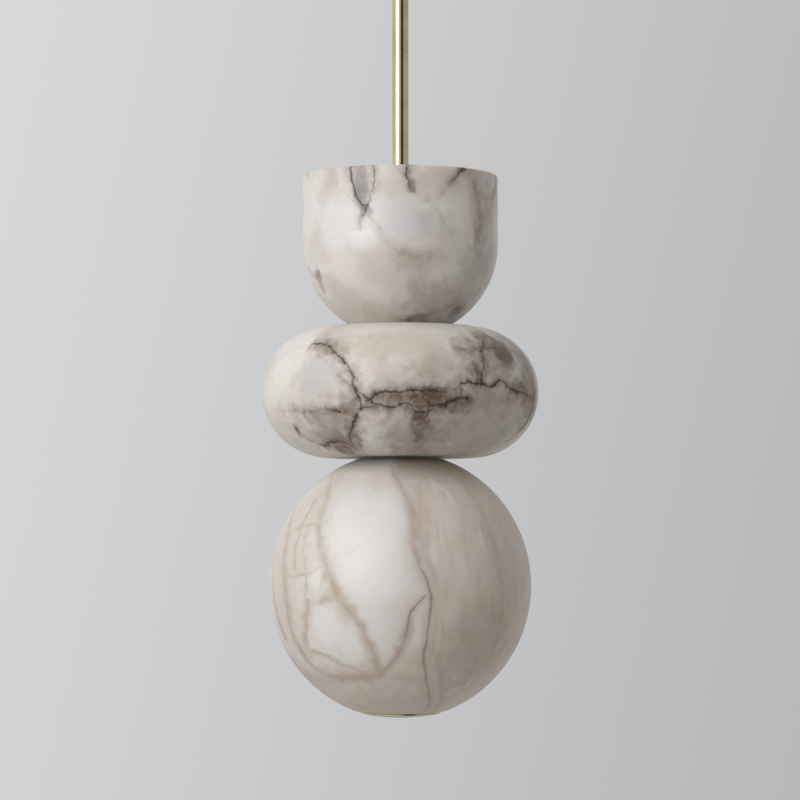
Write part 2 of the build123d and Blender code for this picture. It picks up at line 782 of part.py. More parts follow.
# Seals and centring hubs at the two joints between stones
cup_foot_r = ellipse_x(cup_r, cup_bowl_depth, foot_rise)
ball_r = ball_diameter / 2
ball_seat_r = ellipse_x(ball_r, ball_half_height, ball_above)
for joint, stone_z, seat_r in (("cup", disc_top_z, cup_foot_r), ("ball", ball_top_z, ball_seat_r)):
    lip_r = opening_r + hub_lip + sliding_fit
    outer_r = min(seat_r - gasket_margin, lip_r + gasket_width)
    ring(f"{joint}_joint_gasket", stone_z, outer_r, lip_r, gasket_thickness)
    centring_hub(f"{joint}_joint_hub", stone_z)

# Stone disc: two flats joined by a half-ellipse edge, hollowed through its top
disc_r = disc_diameter / 2
disc_flat_r = disc_flat_diameter / 2
edge_x = disc_r - disc_flat_r
edge_z = disc_height / 2
with BuildPart() as stone_disc:
    with BuildSketch(Plane.XZ):
        with BuildLine():
            outside = EllipticalCenterArc(
                (disc_flat_r, disc_middle_z), edge_x, edge_z, -90, arc_size=180
            )
            Polyline(outside @ 1, (0, disc_top_z), (0, disc_foot_z), outside @ 0)
        make_face()
    revolve(axis=Axis.Z)
    with BuildSketch(Plane.XZ):
        with BuildLine():
            hollow = EllipticalCenterArc(
                (disc_flat_r, disc_middle_z), edge_x - disc_wall, edge_z - disc_wall, -90, arc_size=180
            )
            Polyline(
                hollow @ 1,
                (0, disc_top_z - disc_wall),
                (0, disc_foot_z + disc_wall),
                hollow @ 0,
            )
        make_face()
    revolve(axis=Axis.Z, mode=Mode.SUBTRACT)
    with BuildSketch(Plane.XY.offset(disc_middle_z)):
        Circle(opening_r)
    extrude(amount=disc_height / 2, mode=Mode.SUBTRACT)
    with BuildSketch(Plane.XY.offset(disc_foot_z)):
        Circle(rod_hole_r)
    extrude(amount=disc_height / 2, mode=Mode.SUBTRACT)
finish(stone_disc, "stone_disc")

# Stone ball: a turned ball cut flat above and below, hollowed through its top
hollow_r = ball_r - ball_wall
hollow_half_height = ball_half_height - ball_wall
hollow_top = ball_above - ball_wall
hollow_bottom = ball_below - ball_floor_thickness
with BuildPart() as stone_ball:
    with BuildSketch(Plane.XZ):
        with BuildLine():
            top_angle = ellipse_angle(ball_half_height, ball_above)
            bottom_angle = ellipse_angle(ball_half_height, ball_below)
            outside = EllipticalCenterArc(
                (0, ball_middle_z),
                ball_r,
                ball_half_height,
                -bottom_angle,
                arc_size=top_angle + bottom_angle,
            )
            Polyline(outside @ 1, (0, ball_top_z), (0, ball_foot_z), outside @ 0)
        make_face()
    revolve(axis=Axis.Z)
    with BuildSketch(Plane.XZ):
        with BuildLine():
            top_angle = ellipse_angle(hollow_half_height, hollow_top)
            bottom_angle = ellipse_angle(hollow_half_height, hollow_bottom)
            hollow = EllipticalCenterArc(
                (0, ball_middle_z),
                hollow_r,
                hollow_half_height,
                -bottom_angle,
                arc_size=top_angle + bottom_angle,
            )
            Polyline(
                hollow @ 1,
                (0, ball_middle_z + hollow_top),
                (0, ball_middle_z - hollow_bottom),
                hollow @ 0,
            )
        make_face()
    revolve(axis=Axis.Z, mode=Mode.SUBTRACT)
    with BuildSketch(Plane.XY.offset(ball_middle_z)):
        Circle(opening_r)
    extrude(amount=ball_above, mode=Mode.SUBTRACT)
    with BuildSketch(Plane.XY.offset(ball_foot_z)):
        Circle(rod_hole_r)
    extrude(amount=ball_below, mode=Mode.SUBTRACT)
    with BuildSketch(Plane.XY.offset(ball_foot_z)):
        Circle(cap_recess_diameter / 2)
    extrude(amount=cap_recess_depth, mode=Mode.SUBTRACT)
finish(stone_ball, "stone_ball")

# Lamp sets inside the disc and the ball
for stone, carrier_z in (("disc", disc_carrier_z), ("ball", ball_carrier_z)):
    lamp_carrier(f"{stone}_lamp_carrier", carrier_z)
    grub(f"{stone}_carrier_grub_screw", carrier_z - carrier_hub_height / 2, rod_r, carrier_hub_diameter / 2)
    holder_z = carrier_z + carrier_thickness
    lampholders(f"{stone}_lampholders", holder_z, carrier_ring_radius)
    holder_screws(f"{stone}_holder_screws", holder_z, carrier_ring_radius, carrier_thickness)
    with BuildPart() as lamps:
        with Locations((0, 0, holder_z + holder_height)):
            with PolarLocations(carrier_ring_radius, lamp_count):
                add(capsule_lamp)
    finish(lamps, f"{stone}_lamps")

# Washer and nut that carry the stones, up inside the ball's recess
washer_z = recess_top_z - support_washer_thickness
washer_r = support_washer_diameter / 2
ring("support_washer", washer_z, washer_r, rod_seat_r, support_washer_thickness)
hex_nut("support_nut", support_nut_z, rod_seat_r)

# End cap: a low brass dome on the rod's last threads, with a thin seal against the stone
cap_r = cap_diameter / 2
dome_rise = cap_height - cap_rim_thickness
dome_r = (cap_r**2 + dome_rise**2) / (2 * dome_rise)
with BuildPart() as end_cap:
    with BuildSketch(Plane.XZ):
        with BuildLine():
            Polyline(
                (0, cap_z - cap_height), (0, cap_z), (cap_r, cap_z), (cap_r, cap_z - cap_rim_thickness)
            )
            RadiusArc((cap_r, cap_z - cap_rim_thickness), (0, cap_z - cap_height), dome_r)
        make_face()
    revolve(axis=Axis.Z)
    with BuildSketch(Plane.XY.offset(cap_z)):
        Circle(cap_boss_diameter / 2)
    extrude(amount=cap_boss_height)
    with BuildSketch(Plane.XY.offset(cap_z + cap_boss_height)):
        Circle(rod_seat_r)
    extrude(amount=-(cap_boss_height + cap_rim_thickness), mode=Mode.SUBTRACT)
finish(end_cap, "end_cap")
ring("end_cap_seal", cap_z, cap_r - cap_gasket_width, cap_r - 2 * cap_gasket_width, cap_gasket_thickness)
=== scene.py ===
import math

import bmesh
import bpy
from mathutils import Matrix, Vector


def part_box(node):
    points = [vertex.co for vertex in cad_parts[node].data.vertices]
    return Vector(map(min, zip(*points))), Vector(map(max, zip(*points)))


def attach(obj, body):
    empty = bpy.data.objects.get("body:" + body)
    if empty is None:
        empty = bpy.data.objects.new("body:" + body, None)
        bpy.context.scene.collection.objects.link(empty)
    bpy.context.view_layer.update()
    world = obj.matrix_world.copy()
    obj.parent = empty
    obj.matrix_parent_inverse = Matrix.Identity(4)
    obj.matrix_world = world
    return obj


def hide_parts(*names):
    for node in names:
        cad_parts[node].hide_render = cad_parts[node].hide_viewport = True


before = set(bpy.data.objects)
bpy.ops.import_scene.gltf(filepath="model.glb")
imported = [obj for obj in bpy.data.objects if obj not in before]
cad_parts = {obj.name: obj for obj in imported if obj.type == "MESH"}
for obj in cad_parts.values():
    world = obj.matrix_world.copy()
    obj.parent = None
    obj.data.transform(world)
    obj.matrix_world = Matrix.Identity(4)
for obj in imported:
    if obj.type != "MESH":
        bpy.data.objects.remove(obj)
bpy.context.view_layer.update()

# The photographer's place: level with the disc, about two metres off, with a long lens tipped
# up a little. Places read from the photograph are in its pixels, and seen_on() finds them on a
# stone.
eye = Vector((-0.0002, -2.1106, -0.5367))
lens_tilt = math.radians(2.94)
focal_length = 123.9
sensor_width = 36.0
picture_width = 800
sight_rounds = 12
camera = bpy.data.objects.new("camera", bpy.data.cameras.new("camera"))
camera.data.lens = focal_length
camera.data.sensor_width = sensor_width
camera.location = eye
camera.rotation_euler = (math.pi / 2 + lens_tilt, 0, 0)
bpy.context.scene.collection.objects.link(camera)
bpy.context.scene.camera = camera


def seen_on(radius_at, across, down):
    """Turn in degrees from the front, and height, of the place on a stone that a pixel shows."""
    pixels_per_unit = focal_length / sensor_width * picture_width
    right = (across - picture_width / 2) / pixels_per_unit
    up = (picture_width / 2 - down) / pixels_per_unit
    forward = math.cos(lens_tilt) - up * math.sin(lens_tilt)
    right, up = right / forward, (math.sin(lens_tilt) + up * math.cos(lens_tilt)) / forward
    reach = -eye.y
    for step in range(sight_rounds):
        radius = radius_at(eye.z + up * reach)
        inside = radius**2 * (1 + right**2) - (right * eye.y) ** 2
        reach = (-eye.y - math.sqrt(max(inside, 0))) / (1 + right**2)
    x, y = eye.x + right * reach, eye.y + reach
    return math.degrees(math.atan2(x, -y)), eye.z + up * reach


# Ceiling plate: a dished steel pressing, zinc plated, screwed to the ceiling through four holes.
# The plating is dull and a little cloudy, with a fine grain.
class Reading:
    """One output in a finish. Arithmetic on it adds Math nodes."""

    def __init__(self, finish, socket):
        self.finish, self.socket = finish, socket

    def also(self, output):
        return Reading(self.finish, self.socket.node.outputs[output])

    def math(self, operation, *terms):
        return self.finish.node("ShaderNodeMath", {"operation": operation}, dict(enumerate(terms)))

    def __add__(self, other):
        return self.math("ADD", self, other)

    def __sub__(self, other):
        return self.math("SUBTRACT", self, other)

    def __rsub__(self, other):
        return self.math("SUBTRACT", other, self)

    def __mul__(self, other):
        return self.math("MULTIPLY", self, other)

    def __truediv__(self, other):
        return self.math("DIVIDE", self, other)

    def __abs__(self):
        return self.math("ABSOLUTE", self)

    __radd__, __rmul__ = __add__, __mul__

    def at_least(self, other):
        return self.math("MAXIMUM", self, other)

    def at_most(self, other):
        return self.math("MINIMUM", self, other)

    def thin(self, share):
        """1 at 0, and only a share of that for each unit further."""
        return self.math("POWER", share, self)

    def fade(self, start, end):
        """0 at start and 1 at end, with a soft step between."""
        return self.finish.node(
            "ShaderNodeMapRange", {"interpolation_type": "SMOOTHSTEP"}, {0: self, 1: start, 2: end}
        )


class Wiring:
    """The nodes of a finish or of the air, added one at a time."""

    def __init__(self, tree):
        self.tree = tree

    def node(self, kind, settings, inputs, output=0):
        """Any node: its settings first, then a value or a Reading for each socket."""
        made = self.tree.nodes.new(kind)
        for name, value in settings.items():
            if name == "curve":
                points = made.mapping.curves[0].points
                for index, (along, height) in enumerate(value):
                    if index < 2:
                        points[index].location = (along, height)
                    else:
                        points.new(along, height)
                made.mapping.use_clip = False
                made.mapping.update()
            else:
                setattr(made, name, value)
        for name, value in inputs.items():
            if isinstance(value, Reading):
                self.tree.links.new(value.socket, made.inputs[name])
            else:
                made.inputs[name].default_value = value
        return Reading(self, made.outputs[output])

    def blend(self, share, first, second):
        """A colour between two colours."""
        first, second = (
            c if isinstance(c, Reading) else (*c, 1.0) for c in (first, second)
        )
        return self.node(
            "ShaderNodeMix", {"data_type": "RGBA"}, {0: share, 6: first, 7: second}, 2
        )


class Finish(Wiring):
    """A surface finish: one shader, and the nodes that vary it, with places in millimetres."""

    def __init__(self, name, plain):
        self.material = bpy.data.materials.new(name)
        self.material.use_nodes = True
        super().__init__(self.material.node_tree)
        self.shader = self.tree.nodes["Principled BSDF"]
        for socket, value in plain.items():
            self.shader.inputs[socket].default_value = value
        spot = self.node("ShaderNodeTexCoord", {}, {}, "Object")
        self.place = self.node(
            "ShaderNodeVectorMath", {"operation": "SCALE"}, {0: spot, "Scale": 1000.0}
        )
        self.x = self.node("ShaderNodeSeparateXYZ", {}, {0: self.place})
        self.y, self.z = self.x.also(1), self.x.also(2)

    def noise(self, size, detail=2.0, stretch=(1, 1, 1), wander=0.0, seed=0.0):
        """Cloudy variation about 0.5, with clouds of a size in millimetres."""
        place = self.node(
            "ShaderNodeVectorMath",
            {"operation": "MULTIPLY_ADD"},
            {0: self.place, 1: stretch, 2: (seed, seed, seed)},
        )
        return self.node(
            "ShaderNodeTexNoise",
            {},
            {"Vector": place, "Scale": 1 / size, "Detail": detail, "Distortion": wander},
        )

    def feed(self, socket, reading):
        self.tree.links.new(reading.socket, self.shader.inputs[socket])

    def emboss(self, height, depth):
        """A relief whose height is a Reading and whose depth is in millimetres."""
        inputs = {"Height": height, "Distance": depth / 1000, "Strength": 1.0}
        bump = self.node("ShaderNodeBump", {}, inputs, "Normal")
        self.feed("Normal", bump)

    def coat(self, *pieces):
        """Put this finish on CAD nodes by name, or on pieces made here."""
        for piece in pieces:
            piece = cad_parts[piece] if isinstance(piece, str) else piece
            piece.data.materials.clear()
            piece.data.materials.append(self.material)


def metal(name, colour, worn_colour, roughness, stretch=(1, 1, 1), grain=0.6, depth=0.004):
    """A metal with a fine grain and cloudy tarnish. Its grain is in relief to a depth."""
    finish = Finish(name, {"Metallic": 1.0})
    tarnish = finish.noise(18, 4)
    lines = finish.noise(grain, 3, stretch)
    finish.feed("Base Color", finish.blend(tarnish.fade(0.35, 0.7), colour, worn_colour))
    finish.feed("Roughness", roughness + 0.1 * (tarnish - 0.5) + 0.12 * (lines - 0.5))
    if depth:
        finish.emboss(lines, depth)
    return finish


zinc = metal("zinc_plate", (0.62, 0.62, 0.6), (0.5, 0.5, 0.5), roughness=0.36)
zinc.coat("ceiling_plate")


# Cable grommet: a moulded rubber ring, pressed into the plate's entry hole. Black, matt, with the
# faint bloom that rubber gets in a dry place.
rubber = Finish("black_rubber", {"Roughness": 0.75, "Specular IOR Level": 0.35})
bloom = rubber.noise(3, 3)
black, bloomed = (0.018, 0.018, 0.018), (0.05, 0.05, 0.048)
rubber.feed("Base Color", rubber.blend(bloom.fade(0.4, 0.75), black, bloomed))
rubber.emboss(rubber.noise(0.5), 0.01)
rubber.coat("cable_grommet")


# Terminal block: a white nylon moulding with a brass clamp screw on each side of its three ways,
# held up by one steel screw through its middle.
nylon = Finish("white_nylon", {"Subsurface Weight": 0.1, "Subsurface Scale": 0.003})
flow = nylon.noise(4, 3)
nylon.feed("Base Color", nylon.blend(flow, (0.80, 0.79, 0.75), (0.86, 0.85, 0.82)))
nylon.feed("Roughness", 0.42 + 0.1 * flow)
nylon.emboss(nylon.noise(0.8), 0.006)
nylon.coat("terminal_block")
screw_brass = metal("screw_brass", (0.78, 0.6, 0.3), (0.6, 0.44, 0.2), roughness=0.3)
screw_brass.coat("terminal_screws")
screw_steel = metal("screw_steel", (0.6, 0.6, 0.6), (0.45, 0.45, 0.46), roughness=0.28)
screw_steel.coat("terminal_fixing_screw")


# Earth screw and washer: a brass pan-head screw that comes up through the plate from below, with
# a plain washer, to take the yellow and green wire.
screw_brass.coat("earth_screw", "earth_washer")


# Swivel: two forged steel clevises on a cross, with a pair of bronze bushes in each. The upper
# one's stud goes through the ceiling plate, under a washer and a hexagon nut.
forged = metal("forged_steel", (0.56, 0.56, 0.56), (0.42, 0.42, 0.43), roughness=0.38, grain=0.9)
forged.coat("upper_clevis", "lower_clevis", "swivel_cross")
screw_steel.coat("stud_nut", "stud_washer")
bronze = metal("bearing_bronze", (0.62, 0.42, 0.22), (0.45, 0.28, 0.13), roughness=0.34)
bronze.coat("upper_clevis_bushes", "lower_clevis_bushes")


# Swivel cover: a spun brass dome on the stem's head, which fills the canopy's hole as the light
# tilts. Its turning lines run round it.
champagne_brass = (0.72, 0.625, 0.35)
dull_brass = (0.60, 0.51, 0.27)
turning_lines_per_mm = 3.0


def turned_brass(name):
    """Satin brass with turning lines round the axis, close on a flat and close on a wall."""
    finish = Finish(name, {"Metallic": 1.0})
    radius = finish.node(
        "ShaderNodeMath", {"operation": "SQRT"}, {0: finish.x * finish.x + finish.y * finish.y}
    )
    out, up = radius * turning_lines_per_mm, finish.z * turning_lines_per_mm
    around = finish.node("ShaderNodeCombineXYZ", {}, {0: out, 1: up, 2: 0.0})
    lines = finish.node("ShaderNodeTexNoise", {}, {"Vector": around, "Scale": 1.0, "Detail": 3.0})
    tarnish = finish.noise(25, 4)
    finish.feed("Base Color", finish.blend(tarnish.fade(0.35, 0.75), champagne_brass, dull_brass))
    finish.feed("Roughness", 0.24 + 0.1 * (tarnish - 0.5) + 0.14 * (lines - 0.5))
    finish.emboss(lines, 0.006)
    return finish


spun_brass = turned_brass("spun_brass")
spun_brass.coat("swivel_cover")


# Canopy and its screws: a spun brass cup that drops over the plate, and two knurled brass screws
# that hold it by the slots in its rim.
spun_brass.coat("canopy")
knob_brass = metal("knurled_brass", champagne_brass, dull_brass, roughness=0.28)
knob_brass.coat("canopy_screws")


# Stem: half-inch brass tube, drawn and then brushed lengthwise, so its fine lines run up it and
# the light makes sharp bright and dark bands along it.
drawn_brass = metal(
    "drawn_brass", champagne_brass, dull_brass, roughness=0.17, stretch=(1, 1, 0.005), grain=0.5
)


def turned(name, section, around=192):
    """A turned piece: its closed half-section of (radius, height) points, swept round the axis."""
    on_axis, sharp_edge = 1e-7, math.radians(50)
    points, rings = [], []
    for radius, height in section:
        count = around if radius > on_axis else 1
        rings.append([len(points) + step for step in range(count)])
        for step in range(count):
            angle = 2 * math.pi * step / around
            points.append((radius * math.sin(angle), -radius * math.cos(angle), height))
    faces = []
    for first, second in zip(rings, rings[1:] + rings[:1]):
        for step in range(around):
            corners = []
            for ring, at in ((first, step), (first, step + 1), (second, step + 1), (second, step)):
                corner = ring[at % len(ring)]
                if corner not in corners:
                    corners.append(corner)
            if len(corners) > 2:
                faces.append(corners)
    mesh = bpy.data.meshes.new(name)
    mesh.from_pydata(points, [], faces)
    shell = bmesh.new()
    shell.from_mesh(mesh)
    bmesh.ops.recalc_face_normals(shell, faces=shell.faces)
    shell.to_mesh(mesh)
    shell.free()
    mesh.shade_smooth()
    mesh.set_sharp_from_angle(angle=sharp_edge)
    piece = bpy.data.objects.new(name, mesh)
    bpy.context.scene.collection.objects.link(piece)
    return piece


def eased(path, radius, steps=5):
    """A closed half-section with each sharp corner rounded, as a polisher leaves it."""
    path = [Vector(p) for p in path]
    count = len(path)
    sharp_bend = 0.45
    corners = [
        i
        for i in range(count)
        if path[i].x > radius
        and (path[i] - path[i - 1]).angle(path[(i + 1) % count] - path[i]) > sharp_bend
    ]
    result = []
    for i, point in enumerate(path):
        if i in corners:
            ends = []
            for way in (-1, 1):
                j = i
                while (path[j] - point).length < radius:
                    j = (j + way) % count
                ends.append(point + (path[j] - point).normalized() * radius)
            for step in range(steps + 1):
                t = step / steps
                result.append(
                    (1 - t) ** 2 * ends[0] + 2 * t * (1 - t) * point + t**2 * ends[1]
                )
        elif all((path[c] - point).length > radius for c in corners):
            result.append(point)
    return [(p.x, p.y) for p in result]


stem_low, stem_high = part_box("stem_tube")
stem_wall = 0.0012
stem_ease = 0.0003
stem_radius = stem_high.x
stem = turned(
    "brass_stem",
    eased(
        [
            (stem_radius, stem_low.z),
            (stem_radius, stem_high.z),
            (stem_radius - stem_wall, stem_high.z),
            (stem_radius - stem_wall, stem_low.z),
        ],
        stem_ease,
        steps=3,
    ),
    around=96,
)
drawn_brass.coat(stem)
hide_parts("stem_tube")
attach(stem, "pendant")


# Stem foot, grub screw and hanging rod: a turned brass socket under the stem, and the plated
# steel rod, threaded all along, that carries the stones.
foot_brass = turned_brass("foot_brass")
foot_brass.coat("stem_foot")
screw_steel.coat("stem_grub_screw")
rod_steel = metal("rod_steel", (0.6, 0.6, 0.6), (0.48, 0.48, 0.49), roughness=0.3, depth=0)
thread_pitch = 1.0
thread_turn = rod_steel.node(
    "ShaderNodeMath", {"operation": "ARCTAN2"}, {0: rod_steel.y, 1: rod_steel.x}
)
threads_up = rod_steel.z / thread_pitch + thread_turn / (2 * math.pi)
thread_depth = 0.5
rod_steel.emboss(threads_up.math("PINGPONG", threads_up, 0.5), thread_depth)
rod_steel.coat("hanging_rod")


# Inside the cup: a brass gallery plate on a silicone gasket, three ceramic lampholders with their
# screws, and three opal capsule lamps that push into them.
gallery_brass = turned_brass("gallery_brass")
gallery_brass.coat("cup_gallery")
silicone = Finish(
    "clear_silicone", {"Roughness": 0.5, "Subsurface Weight": 0.4, "Subsurface Scale": 0.002}
)
haze = silicone.noise(6, 2)
silicone.feed("Base Color", silicone.blend(haze, (0.66, 0.65, 0.61), (0.74, 0.73, 0.70)))
silicone.emboss(silicone.noise(1.0), 0.004)
silicone.coat("cup_floor_gasket")
ceramic = Finish("holder_ceramic", {})
glaze = ceramic.noise(5, 3)
ceramic.feed("Base Color", ceramic.blend(glaze, (0.78, 0.75, 0.68), (0.86, 0.84, 0.79)))
ceramic.feed("Roughness", 0.4 + 0.15 * glaze)
ceramic.emboss(ceramic.noise(0.4, 3), 0.012)
ceramic.coat("cup_lampholders")
screw_steel.coat("cup_holder_screws")


def capsule_glass(name, holder_top):
    """Opal glass above the holder, a white ceramic base in it, and plated pins under that."""
    finish = Finish(
        name,
        {"Subsurface Weight": 0.5, "Subsurface Scale": 0.004, "Coat Roughness": 0.05},
    )
    above = finish.z - holder_top * 1000
    base_depth, join = 4.4, 0.4
    glass = above.fade(0.0, 0.6)
    pins = above.fade(-base_depth, -base_depth - join)
    cloud = finish.noise(9, 3)
    opal = finish.blend(cloud, (0.86, 0.85, 0.80), (0.91, 0.90, 0.86))
    base = finish.blend(glass, (0.74, 0.71, 0.64), opal)
    finish.feed("Base Color", finish.blend(pins, base, (0.6, 0.6, 0.6)))
    finish.feed("Roughness", 0.5 - 0.3 * glass + 0.06 * cloud)
    finish.feed("Metallic", pins)
    finish.feed("Coat Weight", 0.5 * glass)
    return finish


cup_opal = capsule_glass("cup_opal_glass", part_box("cup_lampholders")[1].z)
cup_opal.coat("cup_lamp_1", "cup_lamp_2", "cup_lamp_3")


# Stone cup: straight wall over a half-ellipse bowl, turned from a cream and lilac-grey stone and
# polished to a satin. One black crack forks down from the rim, left of the stem.
arc_steps = 64
cup_low, cup_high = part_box("stone_cup")
cup_radius = cup_high.x
cup_straight = 0.0525
cup_bowl_depth = 0.0716
cup_wall = 0.012
cup_floor = 0.014
rod_way = 0.0055
front_mm_per_pixel = 0.73
ending_mm = 6
ended_widths, gap_widths, front_widths = 9, 8, 40
raggedness = 1.6
bowl_z = cup_high.z - cup_straight


def ellipse_width(half_width, half_height, rise):
    return half_width * math.sqrt(max(0.0, 1 - (rise / half_height) ** 2))


def cup_radius_at(height):
    if height > bowl_z:
        return cup_radius
    return ellipse_width(cup_radius, cup_bowl_depth, bowl_z - max(height, cup_low.z))


def bow(half_width, half_height, start, end, base_x=0.0, middle=0.0):
    """Points of an ellipse's side between two rises above its middle, start and end included."""
    first, last = math.asin(start / half_height), math.asin(end / half_height)
    angles = [first + (last - first) * i / arc_steps for i in range(arc_steps + 1)]
    return [
        (base_x + half_width * math.cos(a), middle + half_height * math.sin(a)) for a in angles
    ]


class Stone(Finish):
    """A veined stone finish for a round stone, which lies within a reach above and below its
    middle. Marks are (across, down, strength) places in the photograph, and patches are (across,
    down, half width, half height, strength), all in its pixels."""

    def __init__(self, name, radius_at, middle, reach, wobble, jitter):
        super().__init__(
            name,
            {
                "Subsurface Weight": 0.2,
                "Subsurface Scale": 0.01,
                "Subsurface Radius": (1.0, 0.75, 0.6),
                "Specular IOR Level": 0.45,
            },
        )
        self.radius_at, self.middle, self.reach = radius_at, middle, reach
        self.girth = radius_at(middle) * 1000
        bends, nicks = {"size": 16, "detail": 2}, {"size": 3.2, "detail": 5}
        drift = (self.noise(**bends) - 0.5) * wobble + (self.noise(**nicks) - 0.5) * jitter
        sway = (self.noise(**bends, seed=31) - 0.5) * wobble
        sway = sway + (self.noise(**nicks, seed=8) - 0.5) * jitter
        self.ragged = self.noise(7, 6, seed=77) - 0.5
        turn = self.node("ShaderNodeMath", {"operation": "ARCTAN2"}, {0: self.x, 1: 0.0 - self.y})
        self.turn = turn * (0.5 / math.pi) + drift / (2 * math.pi * self.girth) + 0.5
        self.rise = (self.z + sway - middle * 1000) / (2000 * reach) + 0.5
        torn_edge = 0.3 * (self.noise(35, 3, seed=12) - 0.5)
        self.back = (abs(self.turn - 0.5) + torn_edge).fade(0.21, 0.28)

    def spot(self, across, down):
        turn, height = seen_on(self.radius_at, across, down)
        return turn / 360 + 0.5, (height - self.middle) / (2 * self.reach) + 0.5

    def line(self, way, marks):
        """Millimetres to the right of a line that runs down, or above one that runs across, and
        how weak the line is there."""
        spots = [(*self.spot(x, y), strength) for x, y, strength in marks]
        if way == "down":
            along, across, size = self.rise, self.turn, 2 * math.pi * self.girth
            spots = [(rise, turn, strength) for turn, rise, strength in spots]
        else:
            along, across, size = self.turn, self.rise, 2000 * self.reach
        spots.sort()
        track = [(first, second) for first, second, strength in spots]
        faint = [(first, 1 - strength) for first, second, strength in spots]
        ending = ending_mm / size
        faint = [(faint[0][0] - ending, 1.0)] + faint + [(faint[-1][0] + ending, 1.0)]
        middle = self.node("ShaderNodeFloatCurve", {"curve": track}, {"Value": along})
        weak = self.node("ShaderNodeFloatCurve", {"curve": faint}, {"Value": along})
        return (across - middle) * size, weak

    def veins(self, *lines, behind=(30, 1.0, 0.0)):
        """How far a place is from the nearest of some veins, in vein widths, with ended lines
        and gaps put some widths off. Behind, where the photograph shows nothing, they follow the
        level lines of a noise, and behind holds its size, their width and a seed."""
        size, width, seed = behind
        level = abs(self.noise(size, 4, seed=seed) - 0.5) * (size / width)
        gaps = self.noise(size * 1.3, 2, seed=seed + 9).fade(0.42, 0.62)
        nearest = level + gap_widths * gaps + front_widths * (1 - self.back)
        for way, width, marks in lines:
            off, weak = self.line(way, marks)
            nearest = nearest.at_most(abs(off) / width + weak * ended_widths)
        return nearest * (1 + raggedness * self.ragged)

    def patches(self, *spots, edge=0.9, rough=2.4, behind=(40, 0.0, 0)):
        """1 inside some soft-edged ovals and 0 outside them. Behind they are clouds, and behind
        holds their size, strength and seed."""
        size, share, seed = behind
        strongest = None
        if share:
            strongest = self.noise(size, 4, seed=seed).fade(0.48, 0.62) * (share * self.back)
        for across, down, wide, high, strength in spots:
            turn, rise = self.spot(across, down)
            away_x = (self.turn - turn) * (2 * math.pi * self.girth / (wide * front_mm_per_pixel))
            away_z = (self.rise - rise) * (2000 * self.reach / (high * front_mm_per_pixel))
            away = away_x * away_x + away_z * away_z + rough * self.ragged
            share = away.fade(1 + edge, 1 - edge) * strength
            strongest = share if strongest is None else strongest.at_least(share)
        return strongest


cup_middle, cup_reach = cup_low.z + 0.06, 0.07
cup_stone = Stone("cup_stone", cup_radius_at, cup_middle, cup_reach, wobble=5.0, jitter=4.0)
crack = cup_stone.veins(
    ("down", 1.5, [
        (351.5, 164, 1), (351, 178, 1), (352.6, 184.5, 1), (358, 199, 1), (365.5, 211, 1),
        (361, 220, 0.8), (359, 229, 0.6),
    ]),
    ("down", 1.1, [
        (373, 164, 0.92), (374.5, 182, 0.96), (371, 195, 0.95), (366, 208.6, 1), (365, 211, 0.95),
    ]),
    ("across", 0.7, [(365, 211, 0.9), (375, 220.6, 0.8), (383, 235, 0.6)]),
    ("down", 0.8, [(495.5, 172, 0.9), (494.5, 186, 0.9), (490.5, 200.5, 0.7)]),
    ("across", 0.9, [(311, 273, 0.8), (316.4, 277, 0.9), (319, 271.5, 0.9), (323, 278, 0.7)]),
    ("down", 1.0, [(408.5, 164, 0.95), (407.5, 178, 1), (411, 188.5, 0.95), (415.5, 193, 0.7)]),
    ("down", 0.8, [(306.5, 170, 0.9), (307, 179, 0.8)]),
    ("across", 1.3, [(452, 180, 0.9), (459, 172, 1), (463, 169, 1), (466, 171, 0.9)]),
    behind=(60, 1.0, 3.0),
)
brown = cup_stone.veins(
    ("down", 2.0, [(409.5, 164, 0.95), (409.5, 178, 1), (413, 188.5, 0.95), (418, 196, 0.8)]),
    ("across", 1.6, [(412, 188, 0.9), (418, 195, 0.85), (432, 205, 0.75), (436, 210, 0.8)]),
    ("down", 4.0, [
        (464, 164, 0.9), (472, 178, 0.95), (477, 200, 0.95), (480, 222, 1), (476, 240, 0.85),
    ]),
    ("down", 2.5, [(419, 262, 0.7), (419, 280, 0.85), (412, 295, 0.85), (402, 312, 0.7)]),
    ("down", 1.6, [(495.5, 164, 0.95), (494.5, 186, 0.95), (489, 215, 0.85)]),
    ("across", 2.6, [
        (366, 212, 0.7), (378, 232, 0.8), (392, 248, 0.9), (408, 255, 0.95), (426, 256, 0.9),
        (436, 250, 0.6),
    ]),
    ("down", 1.4, [(361, 215, 0.9), (359.5, 230, 0.8)]),
    ("across", 2.0, [(318, 268, 0.9), (322, 284, 0.9), (331, 294, 0.7)]),
    ("across", 2.2, [(402, 320, 0.9), (430, 314, 0.85), (450, 306, 0.9), (466, 300, 0.7)]),
    ("across", 2.8, [
        (447, 182, 0.9), (453, 179, 1), (458, 172, 1), (465, 168, 1), (472, 172, 0.9),
    ]),
    behind=(45, 3.0, 14.0),
)
diagonal, diagonal_ends = cup_stone.line("across", [
    (392, 318, 0.5), (415, 289, 0.9), (429.5, 270, 0.9), (463, 240.5, 0.8), (490, 222, 0.3),
])
tan_patch = cup_stone.patches(
    (330, 172, 12, 16, 0.8), (418, 258, 26, 12, 0.8), (480, 205, 16, 46, 0.8),
    (418, 290, 12, 26, 0.6), (345, 300, 22, 16, 0.35), (385, 312, 44, 12, 0.7),
    (440, 185, 30, 16, 0.5), (326, 254, 12, 8, 0.35), (395, 180, 18, 18, 0.3),
)
grey_patch = cup_stone.patches(
    (478, 280, 34, 44, 0.8), (445, 303, 46, 22, 0.95), (430, 225, 30, 14, 0.35),
    (330, 284, 16, 12, 0.45), (490, 200, 10, 60, 0.6),
    behind=(60, 0.8, 33),
)
